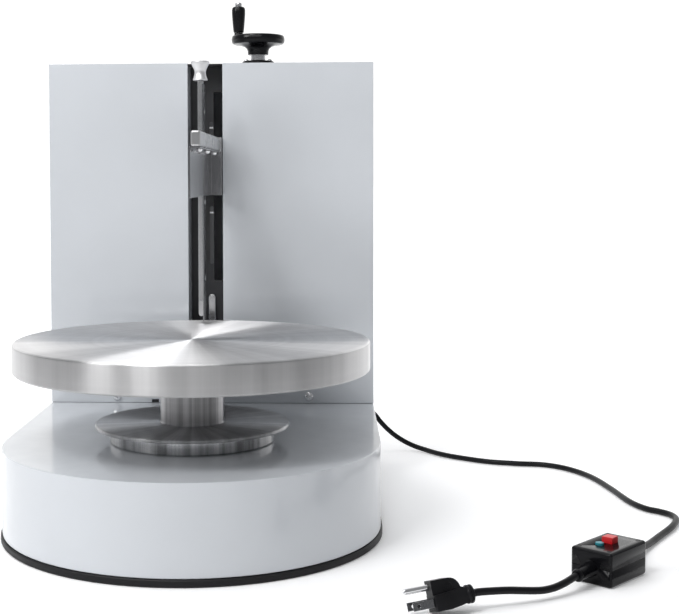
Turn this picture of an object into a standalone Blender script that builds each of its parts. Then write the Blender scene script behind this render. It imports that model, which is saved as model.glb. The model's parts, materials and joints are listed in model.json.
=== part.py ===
"""Cake spreading machine: a powered turntable and a column with a lifting top scraper and a side scraper."""

import math

import bmesh
import bpy
from mathutils import Matrix, Vector

MM = 0.001
GAP = 0.3  # clearance between neighbouring pieces

# Where the turntable axis stands in the shared frame
AXIS_X = 6.4
AXIS_Y = -78.4

# Turntable and spindle
DISC_R = 170.0
DISC_TOP = 183.4
DISC_THICK = 28.1
HUB_R = 30.8
CATCH_R = 92.8
CATCH_TOP = 104.5
CATCH_THICK = 3.5
SPINDLE_R = 8.0
RING_R = 78.5
RING_TOP = 100.5
PULLEY_Z = 32.0
PULLEY_H = 12.0
PULLEY_R = 45.0
MOTOR_Y = 190.0
MOTOR_PULLEY_R = 15.0

# Base
BASE_R = 180.0
BASE_TOP = 87.0
BASE_BACK = 316.3
BASE_WALL = 2.0
TRIM_OUT = 1.5
TRIM_H = 6.5

# Column
COL_FRONT = 201.0
COL_BACK = 316.3
COL_TOP = 464.8
SHEET = 1.6
CHAN_LEFT = -25.0
CHAN_RIGHT = 13.4
CHAN_DEPTH = 32.0

# Crank and lead screw
CRANK_X = 50.5
CRANK_Y = 251.0
SCREW_R = 5.0
WHEEL_R = 30.3
WHEEL_TOP = 499.8
GRIP_X = 28.3
GRIP_TOP = 532.6

# Top scraper
BAR_X0 = 1.7
BAR_X1 = 10.9
BAR_Z0 = 367.3
BAR_Z1 = 382.4
BAR_FRONT = -21.0
BLADE_X0 = 0.2
BLADE_T = 1.2
BLADE_Z0 = 318.8
NECK_FRONT = 195.0
LIFT_DOWN = 95.0
LIFT_UP = 50.0

# Side scraper
POST_X0 = -7.4
POST_X1 = -1.8
POST_Y0 = 136.0
POST_Y1 = 146.0
POST_Z0 = 191.0
POST_Z1 = 440.6
SIDE_BLADE_Y0 = 122.0
ROD_Z0 = 337.0
ROD_Z1 = 350.0

# Cords
CORD_R = 3.0
BOX_AT = (366.5, -136.0)
BOX_LEN = 58.8
BOX_WIDE = 38.0
BOX_TALL = 29.0
BOX_TURN = math.radians(48.4)
RED_AT = (2.5, 0.5)
TEAL_AT = (-9.2, 3.4)
PLUG_AT = (221.8, -231.9)
PLUG_Z = 15.0
PLUG_TURN = math.radians(200.0)
PLUG_ROLL = math.radians(18.0)
PLUG_PITCH = math.radians(5.0)
PLUG_AXIS = -3.8
PLUG_FACE = 14.0

PARTS = None
CUTTERS = None


def clear_scene():
    for obj in list(bpy.data.objects):
        bpy.data.objects.remove(obj, do_unlink=True)


def collection(name, hidden=False):
    made = bpy.data.collections.new(name)
    bpy.context.scene.collection.children.link(made)
    made.hide_render = hidden
    return made


def material(name, colour, metal=0.0, rough=0.5):
    mat = bpy.data.materials.new(name)
    mat.use_nodes = True
    shader = mat.node_tree.nodes["Principled BSDF"]
    shader.inputs["Base Color"].default_value = (*colour, 1.0)
    shader.inputs["Metallic"].default_value = metal
    shader.inputs["Roughness"].default_value = rough
    mat.diffuse_color = (*colour, 1.0)
    return mat


PAINT = ("paint", (0.78, 0.80, 0.82), 0.0, 0.25)
BLACK = ("black", (0.015, 0.015, 0.017), 0.0, 0.45)
RUBBER = ("rubber", (0.012, 0.012, 0.013), 0.0, 0.7)
STEEL = ("steel", (0.62, 0.62, 0.63), 1.0, 0.3)
SATIN = ("satin", (0.72, 0.72, 0.72), 1.0, 0.35)
BRASS = ("brass", (0.75, 0.58, 0.28), 1.0, 0.3)
RED = ("red", (0.7, 0.03, 0.03), 0.0, 0.4)
TEAL = ("teal", (0.02, 0.35, 0.4), 0.0, 0.4)


def finish_object(name, mesh, look, location=(0.0, 0.0, 0.0)):
    obj = bpy.data.objects.new(name, mesh)
    PARTS.objects.link(obj)
    mesh.materials.append(material(name + "_" + look[0], *look[1:]))
    obj.location = Vector(location)
    return obj


def at(x, y, z=0.0):
    """A point given from the turntable axis in millimetres, in metres of the shared frame."""
    return Vector(((x + AXIS_X) * MM, (y + AXIS_Y) * MM, z * MM))


def outline_mesh(name, outline, low, high):
    """A flat outline in x and y, extruded from low to high in z, all in millimetres."""
    work = bmesh.new()
    base = [work.verts.new((x * MM, y * MM, low * MM)) for x, y in outline]
    face = work.faces.new(base)
    made = bmesh.ops.extrude_face_region(work, geom=[face])
    lifted = [v for v in made["geom"] if isinstance(v, bmesh.types.BMVert)]
    bmesh.ops.translate(work, verts=lifted, vec=(0.0, 0.0, (high - low) * MM))
    bmesh.ops.recalc_face_normals(work, faces=work.faces)
    mesh = bpy.data.meshes.new(name)
    work.to_mesh(mesh)
    work.free()
    return mesh


def prism(name, outline, low, high, look, origin=(0.0, 0.0, 0.0), bevel=0.0):
    """An extruded outline given from the turntable axis, with its origin at the given point."""
    ox, oy, oz = origin
    local = [(x - ox, y - oy) for x, y in outline]
    mesh = outline_mesh(name, local, low - oz, high - oz)
    obj = finish_object(name, mesh, look, at(ox, oy, oz))
    if bevel:
        soften(obj, bevel)
    return obj


def block(name, x, y, z, look, origin=(0.0, 0.0, 0.0), bevel=0.0):
    outline = [(x[0], y[0]), (x[1], y[0]), (x[1], y[1]), (x[0], y[1])]
    return prism(name, outline, z[0], z[1], look, origin, bevel)


def soften(obj, width, segments=2, angle=35.0):
    bevel = obj.modifiers.new("edge", "BEVEL")
    bevel.width = width * MM
    bevel.segments = segments
    bevel.limit_method = "ANGLE"
    bevel.angle_limit = math.radians(angle)
    return bevel


def turned(name, profile, look, centre, steps=48, closed=False):
    """A shape turned round z: radius and height pairs in millimetres, running down the outer side."""
    mesh = bpy.data.meshes.new(name)
    points = [(r * MM, 0.0, z * MM) for r, z in profile]
    edges = [(i, i + 1) for i in range(len(points) - 1)]
    if closed:
        edges.append((len(points) - 1, 0))
    mesh.from_pydata(points, edges, [])
    obj = finish_object(name, mesh, look, centre)
    spin = obj.modifiers.new("turn", "SCREW")
    spin.angle = 2.0 * math.pi
    spin.steps = steps
    spin.render_steps = steps
    spin.axis = "Z"
    spin.use_merge_vertices = True
    spin.merge_threshold = 1e-6
    spin.use_smooth_shade = True
    return obj


def aim(obj, direction):
    """Turns an object so that its z axis points along the direction."""
    obj.rotation_mode = "QUATERNION"
    obj.rotation_quaternion = Vector((0.0, 0.0, 1.0)).rotation_difference(Vector(direction))
    return obj


def cutter(obj):
    PARTS.objects.unlink(obj)
    CUTTERS.objects.link(obj)
    obj.hide_render = True
    obj.display_type = "WIRE"
    return obj


def cut(target, tool, operation="DIFFERENCE"):
    step = target.modifiers.new("cut", "BOOLEAN")
    step.operation = operation
    step.solver = "EXACT"
    step.object = tool
    return target


def drill(target, centre, radius, low, high, direction=(0.0, 0.0, 1.0), steps=32):
    """Cuts a round hole along the direction, from low to high past the centre."""
    tool = turned(
        target.name + "_hole",
        [(0.0, high), (radius, high), (radius, low), (0.0, low)],
        STEEL,
        centre,
        steps,
    )
    aim(tool, direction)
    cut(target, cutter(tool))


def slot_cut(target, x, y, z):
    tool = block(target.name + "_slot", x, y, z, STEEL)
    cut(target, cutter(tool))


def arc(cx, cy, radius, start, stop, count):
    """Points on an arc, angles in degrees anticlockwise from +x."""
    out = []
    for i in range(count + 1):
        a = math.radians(start + (stop - start) * i / count)
        out.append((cx + radius * math.cos(a), cy + radius * math.sin(a)))
    return out


def base_outline(grow, corner=6.0, count=48):
    """The footprint: a half circle in front and straight sides to the back, moved out by grow."""
    r = BASE_R + grow
    back = BASE_BACK + grow
    pts = arc(0.0, 0.0, r, 180.0, 360.0, count)
    pts += arc(r - corner, back - corner, corner, 0.0, 90.0, 5)
    pts += arc(-r + corner, back - corner, corner, 90.0, 180.0, 5)
    return pts


def ring_mesh(name, outer, inner, low, high):
    """A ring between two outlines that have the same number of points."""
    work = bmesh.new()
    loops = []
    for outline, z in ((outer, low), (outer, high), (inner, high), (inner, low)):
        loops.append([work.verts.new((x * MM, y * MM, z * MM)) for x, y in outline])
    count = len(outer)
    for k in range(4):
        a = loops[k]
        b = loops[(k + 1) % 4]
        for i in range(count):
            j = (i + 1) % count
            work.faces.new((a[i], a[j], b[j], b[i]))
    bmesh.ops.recalc_face_normals(work, faces=work.faces)
    mesh = bpy.data.meshes.new(name)
    work.to_mesh(mesh)
    work.free()
    return mesh


# ---------------------------------------------------------------- base


def make_base():
    shell = prism("base_shell", base_outline(0.0), TRIM_H + GAP, BASE_TOP, PAINT)
    soften(shell, 1.2, 2, 60.0)
    hollow = prism("base_hollow", base_outline(-BASE_WALL, 4.0), 0.0, BASE_TOP - BASE_WALL, PAINT)
    cut(shell, cutter(hollow))
    drill(shell, at(0.0, 0.0, BASE_TOP), 24.0, -6.0, 6.0)
    drill(shell, at(140.0, BASE_BACK, 62.0), 5.3, -6.0, 6.0, (0.0, 1.0, 0.0), 24)
    drill(shell, at(-BASE_R, 150.0, 48.0), 3.3, -6.0, 6.0, (1.0, 0.0, 0.0), 24)
    slot_cut(shell, (-BASE_R - 5.0, -BASE_R + 5.0), (89.7, 110.3), (40.7, 55.3))
    prism("base_plate", base_outline(-BASE_WALL - GAP, 4.0), TRIM_H + GAP, TRIM_H + 2.3, BLACK)
    trim = ring_mesh(
        "base_edge_trim", base_outline(TRIM_OUT, 7.0), base_outline(-8.0, 4.0), 0.0, TRIM_H
    )
    soften(finish_object("base_edge_trim", trim, RUBBER, at(0.0, 0.0)), 0.9, 1, 50.0)


def make_spindle_seat():
    turned(
        "spindle_flange_ring",
        [
            (77.3, RING_TOP),
            (RING_R, RING_TOP - 1.2),
            (RING_R, BASE_TOP + GAP),
            (26.0, BASE_TOP + GAP),
            (26.0, RING_TOP),
        ],
        SATIN,
        at(0.0, 0.0),
        64,
        True,
    )
    top = BASE_TOP - BASE_WALL - GAP
    turned(
        "spindle_bearing",
        [
            (40.0, top),
            (40.0, top - 4.0),
            (22.0, top - 4.0),
            (22.0, 52.0),
            (SPINDLE_R + GAP, 52.0),
            (SPINDLE_R + GAP, top),
        ],
        STEEL,
        at(0.0, 0.0),
        32,
        True,
    )


def make_drive():
    low = PULLEY_Z
    high = PULLEY_Z + PULLEY_H
    turned(
        "drive_motor",
        [
            (0.0, 84.0),
            (33.0, 84.0),
            (34.0, 83.0),
            (34.0, 49.3),
            (9.0, 49.3),
            (9.0, 47.0),
            (4.0, 47.0),
            (4.0, low),
            (0.0, low),
        ],
        BLACK,
        at(0.0, MOTOR_Y),
        32,
    )
    bracket = block("motor_bracket", (-46.0, 46.0), (156.0, 224.0), (9.1, 49.0), STEEL)
    slot_cut(bracket, (-43.5, 43.5), (150.0, 230.0), (5.0, 46.5))
    drill(bracket, at(0.0, MOTOR_Y, 47.0), 9.3, -6.0, 6.0)
    turned(
        "drive_pulley",
        [(15.0, high), (MOTOR_PULLEY_R, low), (4.3, low), (4.3, high)],
        BLACK,
        at(0.0, MOTOR_Y),
        24,
        True,
    )
    loops = []
    for grow in (2.2, GAP):
        r1 = PULLEY_R + grow
        r2 = MOTOR_PULLEY_R + grow
        lean = math.degrees(math.asin((r1 - r2) / MOTOR_Y))
        near = arc(0.0, 0.0, r1, 180.0 - lean, 360.0 + lean, 28)
        far = arc(0.0, MOTOR_Y, r2, lean, 180.0 - lean, 14)
        loops.append(near + far)
    belt = ring_mesh("drive_belt", loops[0], loops[1], low + 2.0, high - 2.0)
    finish_object("drive_belt", belt, RUBBER, at(0.0, 0.0))


def make_turntable():
    bottom = DISC_TOP - DISC_THICK
    turned(
        "turntable_disc",
        [
            (0.0, DISC_TOP),
            (DISC_R - 1.2, DISC_TOP),
            (DISC_R, DISC_TOP - 1.2),
            (DISC_R, bottom + 1.2),
            (DISC_R - 1.2, bottom),
            (0.0, bottom),
        ],
        SATIN,
        at(0.0, 0.0),
        96,
    )
    hole = SPINDLE_R + GAP
    hub_top = bottom - GAP
    turned(
        "turntable_hub",
        [(HUB_R, hub_top), (HUB_R, CATCH_TOP + GAP), (hole, CATCH_TOP + GAP), (hole, hub_top)],
        SATIN,
        at(0.0, 0.0),
        40,
        True,
    )
    low = CATCH_TOP - CATCH_THICK
    turned(
        "catch_disc",
        [
            (CATCH_R - 0.8, CATCH_TOP),
            (CATCH_R, CATCH_TOP - 0.8),
            (CATCH_R, low),
            (hole, low),
            (hole, CATCH_TOP),
        ],
        SATIN,
        at(0.0, 0.0),
        72,
        True,
    )
    turned(
        "spindle_shaft",
        [(0.0, hub_top), (SPINDLE_R, hub_top), (SPINDLE_R, 28.0), (0.0, 28.0)],
        STEEL,
        at(0.0, 0.0),
        32,
    )
    high = PULLEY_Z + PULLEY_H
    turned(
        "driven_pulley",
        [(PULLEY_R, high), (PULLEY_R, PULLEY_Z), (hole, PULLEY_Z), (hole, high)],
        BLACK,
        at(0.0, 0.0),
        40,
        True,
    )


# ---------------------------------------------------------------- column


def make_covers():
    low = BASE_TOP + GAP
    f = COL_FRONT
    b = COL_BACK - SHEET - GAP
    s = SHEET
    inner = f + CHAN_DEPTH
    left = [
        (-BASE_R, f),
        (CHAN_LEFT, f),
        (CHAN_LEFT, inner),
        (CHAN_LEFT - s, inner),
        (CHAN_LEFT - s, f + s),
        (-BASE_R + s, f + s),
        (-BASE_R + s, b),
        (-BASE_R, b),
    ]
    right = [
        (BASE_R, f),
        (BASE_R, b),
        (BASE_R - s, b),
        (BASE_R - s, f + s),
        (CHAN_RIGHT + s, f + s),
        (CHAN_RIGHT + s, inner),
        (CHAN_RIGHT, inner),
        (CHAN_RIGHT, f),
    ]
    cover = prism("column_left_cover", left, low, COL_TOP, PAINT)
    slot_cut(cover, (-67.1, -59.2), (f - 4.0, f + 1.2), (low - 4.0, low + 3.6))
    soften(cover, 0.7, 2, 60.0)
    other = prism("column_right_cover", right, low, COL_TOP, PAINT)
    soften(other, 0.7, 2, 60.0)
    block("column_back_cover", (-BASE_R, BASE_R), (COL_BACK - s, COL_BACK), (low, COL_TOP), PAINT)
    lid = block(
        "column_top_plate",
        (-BASE_R + s + GAP, BASE_R - s - GAP),
        (f + s + GAP, b),
        (COL_TOP - 2.4, COL_TOP - 0.8),
        PAINT,
    )
    slot_cut(lid, (CHAN_LEFT - s - GAP, CHAN_RIGHT + s + GAP), (f - 5.0, inner + 4.0), (450.0, 480.0))
    drill(lid, at(CRANK_X, CRANK_Y, COL_TOP), SCREW_R + 1.5, -9.0, 9.0)


def make_channel():
    y = COL_FRONT + CHAN_DEPTH
    low = BASE_TOP + GAP
    liner = block(
        "channel_liner",
        (CHAN_LEFT + GAP, CHAN_RIGHT - GAP),
        (y - 1.6, y),
        (low, COL_TOP - 0.8),
        BLACK,
    )
    cap = block(
        "liner_cap",
        (CHAN_LEFT + GAP, CHAN_RIGHT - GAP),
        (COL_FRONT + 0.5, y - 0.8),
        (COL_TOP - 2.6, COL_TOP - 0.8),
        BLACK,
    )
    cut(liner, cutter(cap), "UNION")
    slot_cut(liner, (1.1, 30.0), (y - 9.0, y + 9.0), (BLADE_Z0 - LIFT_DOWN - 2.0, BAR_Z1 + LIFT_UP + 2.0))
    slot_cut(liner, (POST_X0 - 0.4, POST_X1 + 0.4), (y - 9.0, y + 9.0), (ROD_Z0 - 0.6, ROD_Z1 + 0.6))
    front = y - 1.6 - GAP
    for name, z0, z1 in (("slot_strip_upper", 358.4, 401.0), ("slot_strip_lower", 240.4, 306.0)):
        pts = arc(-1.5, z1 - 2.5, 2.5, 0.0, 180.0, 8) + arc(-1.5, z0 + 2.5, 2.5, 180.0, 360.0, 8)
        upright(name, pts, front - 1.0, front, STEEL)
    pts = arc(-1.4, 202.4, 4.0, 0.0, 180.0, 10) + [(-5.4, 140.0), (2.6, 140.0)]
    upright("lower_slot_bracket", pts, front - 5.0, front, SATIN)


def upright(name, outline, front, back, look, origin=(0.0, 0.0, 0.0)):
    """An outline in x and z, extruded from front to back in y, all from the turntable axis."""
    ox, oy, oz = origin
    work = bmesh.new()
    rows = []
    for y in (front, back):
        rows.append([work.verts.new(((x - ox) * MM, (y - oy) * MM, (z - oz) * MM)) for x, z in outline])
    count = len(outline)
    work.faces.new(rows[0])
    work.faces.new(rows[1][::-1])
    for i in range(count):
        j = (i + 1) % count
        work.faces.new((rows[0][j], rows[0][i], rows[1][i], rows[1][j]))
    bmesh.ops.recalc_face_normals(work, faces=work.faces)
    mesh = bpy.data.meshes.new(name)
    work.to_mesh(mesh)
    work.free()
    return finish_object(name, mesh, look, at(ox, oy, oz))


def make_column_fittings():
    head = [(0.0, 2.6), (2.4, 2.3), (4.2, 1.3), (5.1, 0.0), (0.0, 0.0)]
    for name, x in (("column_screw_left", -106.0), ("column_screw_right", 108.5)):
        aim(turned(name, head, STEEL, at(x, COL_FRONT - GAP, 95.0), 24), (0.0, -1.0, 0.0))
    top = COL_TOP - 0.8 + GAP
    turned(
        "top_bearing_flange",
        [
            (8.5, 470.8),
            (17.2, 470.8),
            (18.0, 470.0),
            (18.0, top),
            (SCREW_R + GAP, top),
            (SCREW_R + GAP, 470.8),
        ],
        BLACK,
        at(CRANK_X, CRANK_Y),
        32,
        True,
    )
    for name, dx in (("flange_screw_left", -13.2), ("flange_screw_right", 13.2)):
        turned(
            name,
            [(0.0, 472.8), (1.6, 472.6), (2.6, 471.8), (2.9, 471.1), (0.0, 471.1)],
            STEEL,
            at(CRANK_X + dx, CRANK_Y),
            16,
        )
    turned(
        "screw_foot_bearing",
        [
            (0.0, 92.0),
            (5.4, 92.0),
            (5.4, 100.0),
            (14.0, 100.0),
            (14.0, BASE_TOP + GAP),
            (0.0, BASE_TOP + GAP),
        ],
        STEEL,
        at(CRANK_X, CRANK_Y),
        28,
    )
    for name, x in (("guide_rod_left", 27.0), ("guide_rod_right", 76.0)):
        turned(
            name,
            [(0.0, COL_TOP - 2.7), (5.0, COL_TOP - 2.7), (5.0, BASE_TOP + GAP), (0.0, BASE_TOP + GAP)],
            STEEL,
            at(x, CRANK_Y),
            32,
        )
    guide = block(
        "side_rod_guide",
        (-13.0, 0.8),
        (COL_FRONT + 3.0, COL_FRONT + CHAN_DEPTH - 1.6 - GAP),
        (330.0, 357.0),
        BLACK,
    )
    slot_cut(guide, (POST_X0 - 0.4 + 0.1, POST_X1 + 0.3), (190.0, 250.0), (ROD_Z0 - 0.3, ROD_Z1 + 0.3))


# ---------------------------------------------------------------- lift


def make_lift():
    neck = [
        (BAR_X0, NECK_FRONT),
        (12.6, NECK_FRONT),
        (12.6, 238.0),
        (92.0, 238.0),
        (92.0, 264.0),
        (BAR_X0, 264.0),
    ]
    carriage = prism("lift_carriage", neck, BLADE_Z0, BAR_Z1, STEEL)
    slot_cut(carriage, (12.6, 100.0), (230.0, 270.0), (BLADE_Z0 - 5.0, 328.0))
    slot_cut(carriage, (12.6, 100.0), (230.0, 270.0), (372.0, BAR_Z1 + 5.0))
    drill(carriage, at(27.0, CRANK_Y, 350.0), 5.4, -60.0, 60.0)
    drill(carriage, at(76.0, CRANK_Y, 350.0), 5.4, -60.0, 60.0)
    drill(carriage, at(CRANK_X, CRANK_Y, 350.0), 9.3, -60.0, 60.0)
    turned(
        "lead_nut",
        [(9.0, 377.0), (9.0, 372.3), (9.0, 326.0), (SCREW_R + GAP, 326.0), (SCREW_R + GAP, 377.0)],
        BRASS,
        at(CRANK_X, CRANK_Y),
        32,
        True,
    )
    block(
        "top_scraper_bar",
        (BAR_X0, BAR_X1),
        (BAR_FRONT, NECK_FRONT - GAP),
        (BAR_Z0, BAR_Z1),
        SATIN,
        bevel=1.1,
    )
    make_top_blade()
    head = [(0.0, 3.2), (1.8, 2.9), (3.0, 1.7), (3.4, 0.0), (0.0, 0.0)]
    for i, y in enumerate((12.0, 92.0, 172.0)):
        screw = turned(
            "blade_bolt_%d" % (i + 1),
            head,
            STEEL,
            at(6.3, y, BAR_Z0 - GAP - BLADE_T - GAP),
            20,
        )
        aim(screw, (0.0, 0.0, -1.0))


def make_top_blade():
    """One bent sheet: a hanging web, a flange under the bar and a rear flange across the neck."""
    x0 = BLADE_X0
    x1 = BLADE_X0 + BLADE_T
    top = BAR_Z0 - GAP
    rear = NECK_FRONT - GAP
    plan = [
        (x0, BAR_FRONT),
        (x1, BAR_FRONT),
        (x1, rear - BLADE_T),
        (12.5, rear - BLADE_T),
        (12.5, rear),
        (x0, rear),
    ]
    web = prism("top_scraper_blade", plan, BLADE_Z0, top, SATIN)
    flange = block(
        "blade_flange",
        (x0 + 0.4, BAR_X1 - 0.3),
        (BAR_FRONT + 2.0, rear - 0.5),
        (top - BLADE_T, top),
        SATIN,
    )
    cut(web, cutter(flange), "UNION")


def make_crank():
    turned(
        "leadscrew",
        [(0.0, 477.0), (SCREW_R, 477.0), (SCREW_R, 92.3), (0.0, 92.3)],
        STEEL,
        at(CRANK_X, CRANK_Y),
        32,
    )
    z = WHEEL_TOP
    wheel = turned(
        "handwheel",
        [
            (0.0, z - 6.5),
            (9.0, z - 6.5),
            (20.0, z - 5.5),
            (25.5, z - 1.0),
            (28.0, z),
            (29.9, z - 1.4),
            (WHEEL_R, z - 5.0),
            (29.6, z - 9.0),
            (27.5, z - 10.1),
            (15.0, z - 13.5),
            (11.8, z - 17.5),
            (11.7, z - 22.0),
            (8.4, z - 22.2),
            (8.4, 471.2),
            (SCREW_R + GAP, 471.2),
            (SCREW_R + GAP, 477.0 + GAP),
            (0.0, 477.0 + GAP),
        ],
        BLACK,
        at(CRANK_X, CRANK_Y),
        40,
    )
    boss = turned(
        "wheel_boss",
        [(0.0, z), (4.8, z), (5.4, z - 7.5), (0.0, z - 7.5)],
        BLACK,
        at(GRIP_X, CRANK_Y),
        16,
    )
    cut(wheel, cutter(boss), "UNION")
    hole = 2.6
    turned(
        "handle_grip",
        [
            (hole, GRIP_TOP),
            (5.6, GRIP_TOP),
            (7.2, GRIP_TOP - 1.2),
            (7.7, GRIP_TOP - 4.0),
            (7.6, GRIP_TOP - 9.0),
            (7.1, GRIP_TOP - 16.0),
            (6.4, GRIP_TOP - 24.0),
            (5.9, 504.2),
            (5.6, 503.2),
            (hole, 503.2),
        ],
        BLACK,
        at(GRIP_X, CRANK_Y),
        24,
        True,
    )
    turned(
        "grip_stud",
        [
            (0.0, 537.6),
            (2.8, 537.4),
            (4.0, 536.4),
            (4.0, 533.0),
            (2.2, 533.0),
            (2.2, 502.9),
            (4.6, 502.9),
            (4.6, z + GAP),
            (0.0, z + GAP),
        ],
        STEEL,
        at(GRIP_X, CRANK_Y),
        16,
    )


# ---------------------------------------------------------------- side scraper


def make_side_scraper():
    mid = (POST_X0 + POST_X1) / 2.0
    half = (POST_X1 - POST_X0) / 2.0
    low = arc(mid, POST_Z0 + half, half, 180.0, 360.0, 8)
    outline = low + [(POST_X1, POST_Z1), (POST_X0, POST_Z1)]
    upright("side_post", outline, POST_Y0, POST_Y1, SATIN)
    y0 = SIDE_BLADE_Y0
    y1 = POST_Y1
    blade = block(
        "side_blade",
        (POST_X1 + GAP, POST_X1 + GAP + BLADE_T),
        (y0, y1),
        (187.6, 436.5),
        STEEL,
    )
    drill(blade, at(-1.0, 140.5, 208.0), 2.4, -5.0, 5.0, (1.0, 0.0, 0.0), 20)
    turned(
        "side_knob",
        [
            (0.0, 461.6),
            (9.0, 461.6),
            (9.9, 460.9),
            (9.4, 458.4),
            (7.4, 455.0),
            (6.0, 451.8),
            (5.8, 449.6),
            (6.5, 445.6),
            (7.9, 441.6),
            (7.6, POST_Z1 + GAP),
            (0.0, POST_Z1 + GAP),
        ],
        SATIN,
        at(mid - 0.4, (POST_Y0 + POST_Y1) / 2.0),
        24,
    )
    block(
        "side_slide_rod",
        (POST_X0 + 0.1, POST_X1 - 0.1),
        (POST_Y1 + GAP, 290.0),
        (ROD_Z0, ROD_Z1),
        STEEL,
    )
    lock = turned(
        "side_lock_screw",
        [
            (0.0, 9.0),
            (5.0, 9.0),
            (5.6, 8.4),
            (5.6, 3.0),
            (5.0, 2.4),
            (2.0, 2.4),
            (2.0, 0.0),
            (0.0, 0.0),
        ],
        STEEL,
        at(-6.1, 216.0, 330.0 - GAP),
        16,
    )
    aim(lock, (0.0, 0.0, -1.0))


# ---------------------------------------------------------------- controls and cord


def turn_point(point, pivot, degrees):
    c = math.cos(math.radians(degrees))
    s = math.sin(math.radians(degrees))
    x = point[0] - pivot[0]
    y = point[1] - pivot[1]
    return (pivot[0] + x * c - y * s, pivot[1] + x * s + y * c)


def make_controls():
    x = -BASE_R - GAP
    knob = turned(
        "speed_knob",
        [
            (0.0, 14.0),
            (9.4, 14.0),
            (10.4, 13.0),
            (11.4, 1.5),
            (11.6, 0.0),
            (3.0, 0.0),
            (3.0, -7.0),
            (0.0, -7.0),
        ],
        BLACK,
        at(x, 150.0, 48.0),
        24,
    )
    aim(knob, (-1.0, 0.0, 0.0))
    wall = (-BASE_R - GAP, -BASE_R + 20.0)
    frame = block("switch_frame", (-BASE_R - GAP - 1.5, -BASE_R + 14.0), (87.5, 112.5), (38.5, 57.5), BLACK)
    slot_cut(frame, wall, (85.0, 90.0), (30.0, 60.0))
    slot_cut(frame, wall, (110.0, 115.0), (30.0, 60.0))
    slot_cut(frame, wall, (80.0, 120.0), (30.0, 41.0))
    slot_cut(frame, wall, (80.0, 120.0), (55.0, 60.0))
    slot_cut(frame, (-BASE_R - 20.0, -BASE_R + 10.0), (91.5, 108.5), (42.5, 53.5))
    outline = [
        (-BASE_R - 3.6, 92.6),
        (-BASE_R - 0.9, 100.0),
        (-BASE_R - 3.6, 107.4),
        (-BASE_R + 2.0, 107.4),
        (-BASE_R + 4.5, 100.0),
        (-BASE_R + 2.0, 92.6),
    ]
    pivot = (-BASE_R + 1.0, 100.0)
    outline = [turn_point(p, pivot, 7.0) for p in outline]
    prism("power_rocker", outline, 43.2, 52.8, RED, (*pivot, 48.0))
    gland = turned(
        "cord_gland",
        [
            (CORD_R + GAP + 0.4, 22.0),
            (4.5, 22.0),
            (4.9, 14.0),
            (6.2, 4.2),
            (8.2, 3.6),
            (8.2, GAP),
            (5.0, GAP),
            (5.0, -6.0),
            (CORD_R + GAP + 0.4, -6.0),
        ],
        BLACK,
        at(140.0, BASE_BACK, 62.0),
        20,
        True,
    )
    aim(gland, (0.0, 1.0, 0.0))


def smooth_path(points, spacing):
    """A Catmull-Rom curve through hand-placed points, resampled at an even spacing."""
    pts = [Vector(p) for p in points]
    ends = [pts[0] * 2.0 - pts[1]] + pts + [pts[-1] * 2.0 - pts[-2]]
    fine = []
    for i in range(1, len(ends) - 2):
        a, b, c, d = ends[i - 1 : i + 3]
        for k in range(24):
            t = k / 24.0
            fine.append(
                0.5
                * (
                    b * 2.0
                    + (c - a) * t
                    + (a * 2.0 - b * 5.0 + c * 4.0 - d) * t * t
                    + (b * 3.0 - a - c * 3.0 + d) * t * t * t
                )
            )
    fine.append(pts[-1])
    total = sum((fine[i + 1] - fine[i]).length for i in range(len(fine) - 1))
    count = max(2, round(total / spacing))
    out = [fine[0]]
    walked = 0.0
    goal = total / count
    for i in range(len(fine) - 1):
        step = (fine[i + 1] - fine[i]).length
        while walked + step >= goal - 1e-9 and len(out) < count:
            out.append(fine[i].lerp(fine[i + 1], (goal - walked) / step))
            goal += total / count
        walked += step
    out.append(pts[-1])
    return out


def cord(name, points, look, spacing=15.0):
    curve = bpy.data.curves.new(name, "CURVE")
    curve.dimensions = "3D"
    curve.bevel_depth = CORD_R * MM
    curve.bevel_resolution = 2
    curve.use_fill_caps = True
    path = smooth_path(points, spacing)
    spline = curve.splines.new("POLY")
    spline.points.add(len(path) - 1)
    for point, place in zip(spline.points, path):
        point.co = (*at(place.x, place.y, place.z), 1.0)
    obj = bpy.data.objects.new(name, curve)
    PARTS.objects.link(obj)
    curve.materials.append(material(name + "_" + look[0], *look[1:]))
    return obj


LONG_CORD = [
    (140.0, 338.6, 62.0),
    (140.0, 346.0, 62.0),
    (142.3, 356.2, 62.0),
    (148.4, 365.2, 61.0),
    (157.1, 371.0, 58.7),
    (167.5, 372.7, 55.6),
    (178.4, 370.7, 51.1),
    (186.7, 370.0, 44.8),
    (193.5, 369.6, 36.2),
    (201.5, 369.6, 27.6),
    (211.5, 369.6, 19.0),
    (223.5, 369.4, 11.3),
    (236.0, 366.5, 5.9),
    (248.0, 357.5, 3.6),
    (258.5, 343.0, 3.2),
    (271.0, 327.5, 3.2),
    (288.0, 313.0, 3.2),
    (317.0, 294.0, 3.2),
    (350.0, 284.5, 3.2),
    (380.0, 279.0, 3.2),
    (404.0, 258.0, 3.2),
    (422.0, 219.0, 3.2),
    (432.0, 166.0, 3.2),
    (439.5, 109.0, 3.2),
    (449.3, 81.1, 3.2),
    (459.9, 70.0, 3.2),
    (468.1, 57.5, 3.2),
    (468.8, 40.0, 3.2),
    (457.5, 13.0, 3.2),
    (439.0, -18.0, 3.2),
    (421.0, -48.0, 3.6),
    (406.3, -75.1, 6.9),
]


def box_point(along, across, z):
    c = math.cos(BOX_TURN)
    s = math.sin(BOX_TURN)
    return (BOX_AT[0] + along * c - across * s, BOX_AT[1] + along * s + across * c, z)


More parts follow.
